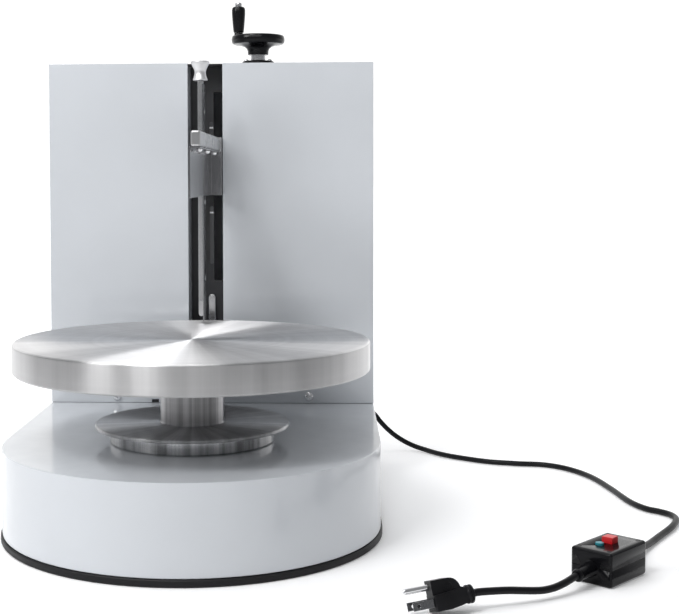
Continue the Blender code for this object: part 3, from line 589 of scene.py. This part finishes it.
def skin(node, mat, bevel=0.0, angle=32.0, segments=2, name=None):
    """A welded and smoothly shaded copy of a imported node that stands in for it."""
    source = NODES[node]
    label = name or node + "_skin"
    work = bmesh.new()
    work.from_mesh(source.data)
    bmesh.ops.remove_doubles(work, verts=work.verts, dist=3e-6)
    bmesh.ops.dissolve_limit(work, angle_limit=math.radians(0.4), verts=work.verts, edges=work.edges)
    work.verts.index_update()
    points = [v.co.copy() for v in work.verts]
    faces = [[v.index for v in f.verts] for f in work.faces]
    work.free()
    mesh = bpy.data.meshes.new(label)
    mesh.from_pydata(points, [], faces)
    smooth(mesh, angle)
    obj = link_piece(bpy.data.objects.new(label, mesh), source["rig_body"], [node], mat)
    if bevel:
        bevelled(obj, bevel, segments)
    return even(obj)


def carve(obj, tool):
    """Cuts the tool out of a piece for good, and removes the tool."""
    bpy.context.scene.collection.objects.link(tool)
    step = obj.modifiers.new("carve", "BOOLEAN")
    step.solver = "EXACT"
    step.object = tool
    bpy.context.view_layer.update()
    graph = bpy.context.evaluated_depsgraph_get()
    made = bpy.data.meshes.new_from_object(obj.evaluated_get(graph))
    obj.modifiers.clear()
    obj.data = made
    bpy.data.objects.remove(tool, do_unlink=True)
    smooth(obj.data)
    return obj


def box_mesh(name, x, y, z):
    mesh = bpy.data.meshes.new(name)
    points = [(px * MM, py * MM, pz * MM) for pz in z for py in y for px in x]
    faces = [(0, 2, 3, 1), (4, 5, 7, 6), (0, 1, 5, 4), (2, 6, 7, 3), (0, 4, 6, 2), (1, 3, 7, 5)]
    mesh.from_pydata(points, [], faces)
    return mesh


def plain(mesh, matrix):
    """An unlinked helper object from a mesh, moved into place."""
    mesh.transform(matrix)
    return bpy.data.objects.new(mesh.name, mesh)


def slab(name, x, y, z, mat, body, nodes, bevel, segments):
    """A bevelled block between two values on each axis, from the turntable axis in millimetres."""
    mesh = box_mesh(name, x, y, z)
    mesh.transform(Matrix.Translation(at(0.0, 0.0)))
    smooth(mesh)
    obj = link_piece(bpy.data.objects.new(name, mesh), body, nodes, mat)
    return bevelled(obj, bevel, segments)


# ---------------------------------------------------------------- turntable


def make_turntable():
    axis = at(0.0, 0.0)
    disc = [
        (0.0, DISC_TOP),
        (60.0, DISC_TOP),
        (120.0, DISC_TOP),
        (DISC_R - 1.6, DISC_TOP, 0.5),
        (DISC_R, DISC_TOP - 1.6, 0.6),
        (DISC_R, DISC_BOTTOM + 1.6, 0.6),
        (DISC_R - 1.6, DISC_BOTTOM, 0.5),
        (0.0, DISC_BOTTOM),
    ]
    node = "turntable_disc"
    lathe("turned_disc", disc, axis, ALUMINIUM, "turntable", [node], 256)
    hub = [
        (8.3, DISC_BOTTOM - 0.3),
        (HUB_R - 0.4, DISC_BOTTOM - 0.3, 0.3),
        (HUB_R, DISC_BOTTOM - 1.2, 0.3),
        (HUB_R, CATCH_TOP + 1.6, 0.4),
        (HUB_R + 0.9, CATCH_TOP + 0.3, 0.4),
        (8.3, CATCH_TOP + 0.3),
    ]
    node = "turntable_hub"
    lathe("turned_hub", hub, axis, HUB_STEEL, "turntable", [node], 128, True)
    low = CATCH_TOP - 3.5
    catch = [
        (8.3, CATCH_TOP),
        (CATCH_R - 1.0, CATCH_TOP, 0.5),
        (CATCH_R, CATCH_TOP - 0.9, 0.5),
        (CATCH_R, low + 0.6, 0.4),
        (CATCH_R - 0.6, low, 0.3),
        (8.3, low),
    ]
    node = "catch_disc"
    lathe("spun_catch_disc", catch, axis, CATCH_STEEL, "turntable", [node], 192, True)
    ring = [
        (26.0, RING_TOP),
        (77.3, RING_TOP, 0.4),
        (RING_R, RING_TOP - 1.2, 0.5),
        (RING_R, BASE_TOP + 0.9, 0.3),
        (RING_R - 0.6, BASE_TOP + 0.3),
        (26.0, BASE_TOP + 0.3),
    ]
    node = "spindle_flange_ring"
    lathe("polished_flange", ring, axis, RING_STEEL, "frame", [node], 192, True)


# ---------------------------------------------------------------- screws


def cross_cutter(matrix, long, wide, deep):
    """The two crossed bars of a recess, as helpers."""
    first = box_mesh("cross_a", (-long / 2, long / 2), (-wide / 2, wide / 2), (-deep, deep))
    second = box_mesh("cross_b", (-wide / 2, wide / 2), (-long / 2, long / 2), (-deep, deep))
    return [plain(first, matrix), plain(second, matrix)]


def pan_screw(name, place, aim, radius, rise, node, body, stands_for=True):
    """A pan head with a cross recess, standing on its place and pointing along aim."""
    profile = [
        (0.0, rise),
        (radius * 0.35, rise * 0.985),
        (radius * 0.62, rise * 0.9),
        (radius * 0.84, rise * 0.68),
        (radius * 0.97, rise * 0.36),
        (radius, rise * 0.1, 0.1),
        (radius * 0.98, 0.0),
        (0.0, 0.0),
    ]
    nodes = [node] if stands_for else []
    head = lathe(name, profile, place, CHROME, body, nodes, 40, False, aim)
    spin = Matrix.Rotation(math.radians(18.0), 4, "Z")
    matrix = Matrix.Translation(place) @ facing(aim) @ Matrix.Translation((0.0, 0.0, rise * MM)) @ spin
    for tool in cross_cutter(matrix, radius * 1.05, radius * 0.26, rise * 0.5):
        carve(head, tool)
    return head


def make_screws():
    for side, x in (("left", -106.0), ("right", 108.5)):
        place = at(x, COLUMN_FRONT - GAP, 95.0)
        pan_screw("foot_screw_" + side, place, FRONT, 5.1, 2.6, "column_screw_" + side, "frame")
    for side, dx in (("left", -13.2), ("right", 13.2)):
        place = at(CRANK[0] + dx, CRANK[1], FLANGE_TOP + GAP)
        pan_screw("bearing_screw_" + side, place, UP, 2.9, 1.7, "flange_screw_" + side, "frame")
    blade_thick = 1.2
    for i, y in enumerate((12.0, 92.0, 172.0)):
        place = at(6.3, y, BAR_BOTTOM - GAP - blade_thick - GAP)
        pan_screw("under_bolt_%d" % (i + 1), place, DOWN, 3.4, 3.2, "blade_bolt_%d" % (i + 1), "lift")


# ---------------------------------------------------------------- crank


def make_wheel():
    z = WHEEL_TOP
    dish = [
        (0.0, z - 6.3),
        (8.6, z - 6.3, 0.6),
        (10.5, z - 6.9),
        (15.0, z - 6.7),
        (20.0, z - 5.3),
        (23.5, z - 2.8),
        (25.8, z - 0.9),
        (28.2, z, 0.8),
        (29.7, z - 1.4, 0.8),
        (30.3, z - 4.6, 0.8),
        (29.8, z - 8.4, 0.8),
        (28.0, z - 10.0, 0.8),
        (25.0, z - 10.4),
        (20.5, z - 11.2),
        (16.0, z - 12.6),
        (13.0, z - 14.9),
        (11.9, z - 17.6),
        (11.7, z - 21.6, 0.4),
        (11.2, z - 22.1),
        (0.0, z - 22.1),
    ]
    lathe("dished_wheel", dish, at(*CRANK), GLOSS_BLACK, "crank", ["handwheel"], 160)
    low = FLANGE_TOP + 0.4
    sleeve = [(5.4, SLEEVE_TOP), (8.4, SLEEVE_TOP), (8.4, low + 0.4, 0.3), (8.0, low), (5.4, low)]
    lathe("wheel_sleeve", sleeve, at(*CRANK), ROD_STEEL, "crank", [], 64, True)
    cap = [(0.0, z - 5.2), (3.8, z - 5.2, 0.3), (4.3, z - 5.7), (4.3, z - 6.3), (0.0, z - 6.3)]
    lathe("wheel_centre_bolt", cap, at(*CRANK), CHROME, "crank", [], 48)
    boss = [(0.0, z), (4.3, z, 0.3), (4.9, z - 0.7), (5.5, z - 7.4), (0.0, z - 7.4)]
    lathe("grip_boss", boss, at(GRIP_X, CRANK[1]), GLOSS_BLACK, "crank", [], 48)


def make_grip():
    place = at(GRIP_X, CRANK[1])
    low = WHEEL_TOP + GAP
    grip = [
        (2.6, GRIP_TOP),
        (5.4, GRIP_TOP, 0.6),
        (7.1, GRIP_TOP - 1.1, 0.8),
        (7.7, GRIP_TOP - 4.0),
        (7.6, GRIP_TOP - 9.0),
        (7.1, GRIP_TOP - 16.0),
        (6.4, GRIP_TOP - 24.0),
        (5.9, 504.2, 0.5),
        (5.5, 503.2),
        (2.6, 503.2),
    ]
    lathe("finger_grip", grip, place, GLOSS_BLACK, "grip", ["handle_grip"], 72, True)
    stud = [
        (0.0, STUD_TOP),
        (2.4, STUD_TOP - 0.2),
        (3.4, STUD_TOP - 0.6),
        (4.0, STUD_TOP - 1.6, 0.4),
        (4.0, STUD_TOP - 4.6),
        (2.2, STUD_TOP - 4.6),
        (2.2, low),
        (0.0, low),
    ]
    collar = [(2.3, 502.9), (4.8, 502.9, 0.3), (5.0, 502.4), (5.0, low), (2.3, low)]
    lathe("grip_collar", collar, place, GLOSS_BLACK, "crank", [], 48, True)
    head = lathe("grip_screw", stud, place, CHROME, "crank", ["grip_stud"], 48)
    slot = box_mesh("stud_slot", (-5.0, 5.0), (-0.5, 0.5), (STUD_TOP - 1.2, 540.0))
    carve(head, plain(slot, Matrix.Translation(place) @ Matrix.Rotation(0.5, 4, "Z")))


def make_lead_screw():
    flange = [
        (5.3, FLANGE_TOP),
        (9.0, FLANGE_TOP),
        (9.4, FLANGE_TOP - 0.3),
        (16.9, FLANGE_TOP - 0.3, 0.3),
        (18.0, FLANGE_TOP - 1.1, 0.4),
        (18.0, FLANGE_TOP - 6.5),
        (5.3, FLANGE_TOP - 6.5),
    ]
    node = "top_bearing_flange"
    lathe("screw_flange", flange, at(*CRANK), SOFT_BLACK, "frame", [node], 96, True)
    thread = []
    z = 470.0
    while z > 95.0:
        thread += [(5.0, z), (5.0, z - 2.0), (4.45, z - 2.5), (4.45, z - 4.5)]
        z -= THREAD_PITCH
    profile = [(0.0, 477.0), (5.0, 477.0), *thread, (5.0, SCREW_FOOT), (0.0, SCREW_FOOT)]
    lathe("lead_screw_rod", profile, at(*CRANK), ROD_STEEL, "crank", ["leadscrew"], 32)


# ---------------------------------------------------------------- scrapers


def make_top_scraper():
    x = (1.7, 10.9)
    y = (-21.0, 194.7)
    z = (BAR_BOTTOM, 382.4)
    node = "top_scraper_bar"
    slab("scraper_bar", x, y, z, BAR_STEEL, "lift", [node], 2.2, 5)
    skin("top_scraper_blade", BLADE_STEEL, 0.25, 32.0, 2, "hanging_blade")
    skin("lift_carriage", PLATE, 0.6)
    skin("lead_nut", BRASS, 0.3)


def make_side_scraper():
    skin("side_post", POST_STEEL, 0.5, 40.0, 3, "upright_post")
    skin("side_blade", BLADE_STEEL, 0.25, 32.0, 2, "upright_blade")
    knob = [
        (0.0, 461.6),
        (8.6, 461.6, 0.4),
        (9.9, 460.7, 0.5),
        (9.7, 459.2),
        (8.6, 456.6),
        (7.3, 454.2),
        (6.3, 451.8),
        (5.9, 449.6),
        (6.1, 447.4),
        (6.8, 444.6),
        (7.9, 441.8, 0.4),
        (7.6, 440.9),
        (0.0, 440.9),
    ]
    lathe("flared_knob", knob, at(*KNOB_AT), KNOB_STEEL, "side_scraper", ["side_knob"], 96)
    make_post_details()
    skin("side_slide_rod", ROD_STEEL, 0.5, 32.0, 3)
    skin("side_rod_guide", SOFT_BLACK, 0.6, 32.0, 3)
    make_lock_screw()


def make_post_details():
    for i, z in enumerate((407.7, 231.3)):
        place = at(POST_FACE, 139.5, z)
        pan_screw("post_screw_%d" % (i + 1), place, RIGHT, 2.5, 0.3, "side_blade", "side_scraper", False)
    collar = [(0.0, 0.3), (2.2, 0.3, 0.1), (2.5, 0.15), (2.5, 0.0), (0.0, 0.0)]
    for i, y in enumerate((137.0, 143.0)):
        place = at(POST_FACE, y, 312.5)
        name = "post_stud_%d" % (i + 1)
        lathe(name, collar, place, CHROME, "side_scraper", [], 32, False, RIGHT)
    # Painted shade: a thin dark patch on the post face stands in for the shaded inside of a slot.
    x = (POST_FACE - 0.1, POST_FACE + 0.18)
    y = (133.5, 138.5)
    z = (205.8, 212.4)
    slab("post_slot_painted_shade", x, y, z, CHANNEL_BLACK, "side_scraper", [], 0.05, 2)


def knurl(angle, r, z):
    """Fine grips round the head of the thumb screw."""
    return 1.0 + (0.035 * math.cos(24.0 * angle) if r > 5.2 else 0.0)


def make_lock_screw():
    lock = [
        (0.0, 9.0),
        (4.6, 9.0, 0.4),
        (5.6, 8.2, 0.3),
        (5.6, 3.0, 0.3),
        (5.0, 2.4),
        (2.0, 2.4),
        (2.0, 0.0),
        (0.0, 0.0),
    ]
    node = "side_lock_screw"
    lathe("lock_thumb_screw", lock, at(*LOCK_AT), CHROME, "side_lock", [node], 144, False, DOWN, knurl)


def make_channel():
    skin("channel_liner", CHANNEL_BLACK, 0.3)
    for node, z in (("slot_strip_upper", 394.4), ("slot_strip_lower", 298.7)):
        skin(node, STRIP_STEEL, 0.3, 32.0, 2)
        tall = (z - 0.9, z + 0.9)
        # Painted highlight: a thin strip of brighter steel across each strip.
        slab(node + "_tip", (-3.7, 0.7), (229.7, 230.1), tall, KNOB_STEEL, "frame", [], 0.15, 2)
    skin("lower_slot_bracket", BAR_STEEL, 0.9, 32.0, 3)


# ---------------------------------------------------------------- base and column


def make_housing():
    skin("base_shell", PAINT)
    skin("base_edge_trim", RUBBER)
    skin("base_plate", SOFT_BLACK)
    skin("column_left_cover", PAINT)
    # Painted shade: a thin dark sheet behind the cover face darkens the notch at the column's foot.
    x = (-67.0, -59.3)
    y = (COLUMN_FRONT + 0.7, COLUMN_FRONT + 1.1)
    z = (87.5, 90.8)
    slab("foot_notch_painted_shade", x, y, z, CHANNEL_BLACK, "frame", [], 0.1, 2)
    skin("column_right_cover", PAINT)
    skin("column_back_cover", PAINT, 0.5)
    skin("column_top_plate", PAINT, 0.3)


def make_inner_parts():
    for node, mat in (
        ("spindle_bearing", ROD_STEEL),
        ("drive_motor", MOTOR),
        ("motor_bracket", PLATE),
        ("drive_belt", BELT),
        ("spindle_shaft", ROD_STEEL),
        ("driven_pulley", PLATE),
        ("drive_pulley", PLATE),
        ("screw_foot_bearing", PLATE),
        ("guide_rod_left", ROD_STEEL),
        ("guide_rod_right", ROD_STEEL),
    ):
        skin(node, mat)


def flute(angle, r, z):
    """Shallow flutes round the skirt of the speed knob."""
    if r > 10.0 and z > 1.0:
        return 1.0 - 0.045 * (0.5 + 0.5 * math.cos(18.0 * angle))
    return 1.0


def make_controls():
    knob = [
        (0.0, 13.6),
        (7.0, 13.6),
        (8.6, 14.0, 0.3),
        (10.4, 13.0, 0.6),
        (10.9, 9.0),
        (11.4, 1.5, 0.3),
        (11.6, 0.0),
        (3.0, 0.0),
        (3.0, -7.0),
        (0.0, -7.0),
    ]
    place = at(*SPEED_KNOB_AT)
    body = "speed_control"
    node = "speed_knob"
    lathe("fluted_speed_knob", knob, place, SOFT_BLACK, body, [node], 180, False, LEFT, flute)
    x = (-194.45, -194.0)
    slab("knob_pointer", x, (149.5, 150.5), (50.0, 56.0), WHITE, body, [], 0.15, 2)
    skin("switch_frame", SOFT_BLACK, 0.4, 32.0, 3)
    skin("power_rocker", RED, 0.5, 32.0, 3)


# ---------------------------------------------------------------- cords, inline box and plug


def box_point(along, across, z):
    c = math.cos(BOX_TURN)
    s = math.sin(BOX_TURN)
    return (BOX_AT[0] + along * c - across * s, BOX_AT[1] + along * s + across * c, z)


def plug_way(along, across, up):
    """A direction given in the plug's own frame: rolled, tipped nose down, then turned."""
    y = across * math.cos(PLUG_ROLL) - up * math.sin(PLUG_ROLL)
    z = across * math.sin(PLUG_ROLL) + up * math.cos(PLUG_ROLL)
    x = along * math.cos(PLUG_PITCH) + z * math.sin(PLUG_PITCH)
    z = z * math.cos(PLUG_PITCH) - along * math.sin(PLUG_PITCH)
    c = math.cos(PLUG_TURN)
    s = math.sin(PLUG_TURN)
    return (x * c - y * s, x * s + y * c, z)


def plug_local(along, across, up):
    """A point given in the plug's own frame."""
    x, y, z = plug_way(along, across, up)
    return (PLUG_AT[0] + x, PLUG_AT[1] + y, PLUG_Z + z)


LONG_CORD = [
    (140.0, 338.6, 62.0),
    (140.0, 346.0, 62.0),
    (142.3, 356.2, 62.0),
    (148.4, 365.2, 61.0),
    (157.1, 371.0, 58.7),
    (167.5, 372.7, 55.6),
    (178.4, 370.7, 51.1),
    (186.7, 370.0, 44.8),
    (193.5, 369.6, 36.2),
    (201.5, 369.6, 27.6),
    (211.5, 369.6, 19.0),
    (223.5, 369.4, 11.3),
    (236.0, 366.5, 5.9),
    (248.0, 357.5, 3.6),
    (258.5, 343.0, 3.2),
    (271.0, 327.5, 3.2),
    (288.0, 313.0, 3.2),
    (317.0, 294.0, 3.2),
    (350.0, 284.5, 3.2),
    (380.0, 279.0, 3.2),
    (404.0, 258.0, 3.2),
    (422.0, 219.0, 3.2),
    (432.0, 166.0, 3.2),
    (439.5, 109.0, 3.2),
    (449.3, 81.1, 3.2),
    (459.9, 70.0, 3.2),
    (468.1, 57.5, 3.2),
    (468.8, 40.0, 3.2),
    (457.5, 13.0, 3.2),
    (439.0, -18.0, 3.2),
    (421.0, -48.0, 3.6),
    (406.3, -75.1, 6.9),
    (397.0, -100.7, 11.95),
    box_point(BOX_LEN / 2.0 + 10.0, 0.0, 13.5),
    box_point(BOX_LEN / 2.0 + 4.4, 0.0, 13.5),
]

SHORT_CORD = [
    box_point(-BOX_LEN / 2.0 - 22.5, 0.0, 12.1),
    box_point(-BOX_LEN / 2.0 - 27.8, 0.0, 11.9),
    (326.4, -180.8, 11.1),
    (322.3, -184.7, 10.2),
    (317.9, -188.4, 9.3),
    (313.1, -192.1, 8.5),
    (307.8, -195.7, 8.1),
    (301.9, -199.4, 8.1),
    (295.3, -203.1, 8.8),
    (288.0, -206.8, 9.9),
    (279.8, -210.7, 11.2),
    (270.7, -214.6, 12.4),
    (260.6, -218.8, 13.2),
    plug_local(-27.0, 0.0, PLUG_AXIS),
    plug_local(-PLUG_TAIL, 0.0, PLUG_AXIS),
]


def flowing(points, spacing):
    """A Catmull-Rom curve through the given points, resampled at an even spacing."""
    pts = [Vector(p) for p in points]
    ends = [pts[0] * 2.0 - pts[1]] + pts + [pts[-1] * 2.0 - pts[-2]]
    fine = []
    for i in range(1, len(ends) - 2):
        a, b, c, d = ends[i - 1 : i + 3]
        for k in range(24):
            t = k / 24.0
            cubic = (b * 3.0 - a - c * 3.0 + d) * t * t * t
            square = (a * 2.0 - b * 5.0 + c * 4.0 - d) * t * t
            fine.append(0.5 * (b * 2.0 + (c - a) * t + square + cubic))
    fine.append(pts[-1])
    total = sum((fine[i + 1] - fine[i]).length for i in range(len(fine) - 1))
    count = max(2, round(total / spacing))
    out = [fine[0]]
    walked = 0.0
    goal = total / count
    for i in range(len(fine) - 1):
        step = (fine[i + 1] - fine[i]).length
        while walked + step >= goal - 1e-9 and len(out) < count:
            out.append(fine[i].lerp(fine[i + 1], (goal - walked) / step))
            goal += total / count
        walked += step
    out.append(pts[-1])
    return out, total


def lay_cord(name, points, node):
    """A round cord along a route, with where it starts and how long it is."""
    path, total = flowing(points, CORD_STEP)
    curve = bpy.data.curves.new(name, "CURVE")
    curve.dimensions = "3D"
    curve.bevel_depth = CORD_R * MM
    curve.bevel_resolution = 7
    curve.use_fill_caps = True
    spline = curve.splines.new("POLY")
    spline.points.add(len(path) - 1)
    for point, place in zip(spline.points, path):
        point.co = (*at(*place), 1.0)
    spline.use_smooth = True
    obj = bpy.data.objects.new(name, curve)
    link_piece(obj, "frame", [node], CORD_BLACK)
    return obj, at(*points[0]), total * MM


def make_gland():
    """A tapered strain relief with ring grooves."""
    sleeve = [(3.7, 22.0), (4.5, 22.0)]
    z = 21.2
    r = 4.55
    while z > 6.0:
        sleeve += [(r, z), (r + 0.08, z - 1.3), (r - 0.55, z - 1.5), (r - 0.55, z - 2.2), (r + 0.12, z - 2.4)]
        z -= 2.5
        r += 0.24
    sleeve += [(6.2, 4.4), (8.0, 4.0), (8.2, 3.4), (8.2, 0.3), (5.0, 0.3), (5.0, -6.0), (3.7, -6.0)]
    node = "cord_gland"
    lathe("ribbed_gland", sleeve, at(*GLAND_AT), SOFT_BLACK, "frame", [node], 48, True, BACK)


def make_inline_box():
    box = skin("inline_box", BOX_BLACK, 0.0, 38.0, 3, "inline_case")
    turn = Matrix.Translation(at(*box_point(0.0, 0.0, 0.0))) @ Matrix.Rotation(BOX_TURN, 4, "Z")
    half = BOX_LEN / 2.0
    wide = BOX_WIDE / 2.0
    outer = box_mesh("seam_outer", (-half - 1.0, half + 1.0), (-wide - 1.0, wide + 1.0), (14.3, 14.9))
    inner = box_mesh("seam_inner", (-half + 0.45, half - 0.45), (-wide + 0.45, wide - 0.45), (13.0, 16.0))
    ring = plain(outer, turn)
    core = plain(inner, turn)
    bpy.context.scene.collection.objects.link(ring)
    carve(ring, core)
    bpy.context.scene.collection.objects.unlink(ring)
    carve(box, ring)
    smooth(box.data, 38.0)
    skin("reset_button", RED, 0.0, 38.0, 3)
    skin("test_button", TEAL, 0.0, 38.0, 3)
    for i, (along, across) in enumerate(((-24.0, -14.0), (24.0, 14.0), (24.0, -14.0), (-24.0, 14.0))):
        place = at(*box_point(along, across, BOX_TALL - 0.05))
        rim = [(0.0, 0.0), (1.5, 0.0), (1.9, 0.25), (2.3, 0.0), (2.3, -0.6), (0.0, -0.6)]
        lathe("case_pip_%d" % (i + 1), rim, place, BOX_BLACK, "frame", [], 32)


def make_plug():
    skin("plug_body", SOFT_BLACK, 0.0, 38.0, 3, "plug_moulding")
    skin("plug_blade_near", NICKEL, 0.2)
    skin("plug_blade_far", NICKEL, 0.2)
    skin("plug_ground_pin", CHROME)
    mark_up = 5.2
    outward = plug_way(0.0, 1.0, 0.0)
    centre = at(*plug_local(0.3, PLUG_SIDE, mark_up))
    ring = [(4.1, -0.5), (4.5, 0.25), (4.3, 0.35), (3.7, 0.35), (3.5, 0.25), (3.5, -0.5)]
    lathe("plug_grip_ring", ring, centre, SOFT_BLACK, "frame", [], 40, True, outward)
    bar = [(0.0, -0.5), (0.9, -0.5), (0.9, 0.3), (0.0, 0.35)]
    for i, along in enumerate((-1.4, 0.3, 2.0)):
        spot = at(*plug_local(along, PLUG_SIDE, mark_up))
        name = "plug_grip_%d" % (i + 1)
        lathe(name, bar, spot, SOFT_BLACK, "frame", [], 20, True, outward)


def make_cords():
    long_cord, start, length = lay_cord("mains_cord", LONG_CORD, "power_cord")
    lead, start, length = lay_cord("plug_lead_cord", SHORT_CORD, "plug_lead")


make_camera()
make_light()
make_floor()
make_gland()
make_inline_box()
make_plug()
make_cords()
make_turntable()
make_screws()
make_wheel()
make_grip()
make_lead_screw()
make_top_scraper()
make_side_scraper()
make_channel()
make_housing()
make_inner_parts()
make_controls()
